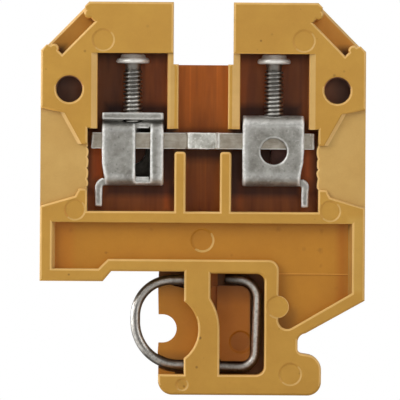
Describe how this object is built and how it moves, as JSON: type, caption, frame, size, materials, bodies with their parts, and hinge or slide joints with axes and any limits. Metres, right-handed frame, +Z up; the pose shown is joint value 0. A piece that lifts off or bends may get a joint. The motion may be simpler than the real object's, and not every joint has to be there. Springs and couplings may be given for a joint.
{
  "type": "feed-through terminal block",
  "caption": "Open-sided feed-through terminal block with a screw clamp at each end, a current bar between them and a wire-spring foot for a G-section rail.",
  "frame": {"origin": "middle of the body's box on the underside of the foot, so the block stands on its foot at Z = 0", "axes": "+Z up, away from the rail; +X along the wires, towards the rail hook's side; the open face looks to -Y and the rail runs along Y"},
  "size_m": [0.04, 0.0066, 0.0483],
  "materials": {
    "moulding": "yellow-tan moulded thermoset, satin",
    "tinned_bar": "tin-plated copper alloy, dull warm grey",
    "zinc_yoke": "zinc-plated folded steel, mottled",
    "zinc_screw": "zinc-plated steel",
    "spring_wire": "bright drawn spring wire"
  },
  "bodies": {
    "housing": {"housing": "moulding", "current_bar": "tinned_bar"},
    "left_yoke": {"left_clamp_yoke": "zinc_yoke"},
    "right_yoke": {"right_clamp_yoke": "zinc_yoke"},
    "left_screw": {"left_clamp_screw": "zinc_screw"},
    "right_screw": {"right_clamp_screw": "zinc_screw"},
    "spring": {"rail_spring": "spring_wire"}
  },
  "joints": [
    {"name": "left_screw_turn", "type": "hinge", "parent": "housing", "child": "left_screw", "pos_m": [-0.0087, -0.0005, 0.0365], "axis": [0, 0, -1], "range_deg": [0, 2165]},
    {"name": "right_screw_turn", "type": "hinge", "parent": "housing", "child": "right_screw", "pos_m": [0.0087, -0.0005, 0.0365], "axis": [0, 0, -1], "range_deg": [0, 2165]},
    {"name": "left_yoke_lift", "type": "slide", "parent": "housing", "child": "left_yoke", "axis": [0, 0, 1], "range_m": [0, 0.003]},
    {"name": "right_yoke_lift", "type": "slide", "parent": "housing", "child": "right_yoke", "axis": [0, 0, 1], "range_m": [0, 0.003]},
    {"name": "rail_spring_press", "type": "slide", "parent": "housing", "child": "spring", "axis": [1, 0, 0], "range_m": [0, 0.0018], "stiffness_N_per_m": 4000, "deforming": ["rail_spring"]}
  ],
  "couplings": [
    {"joint": "left_screw_turn", "follows": "left_yoke_lift", "rad_per_m": 12566},
    {"joint": "right_screw_turn", "follows": "right_yoke_lift", "rad_per_m": 12566}
  ]
}
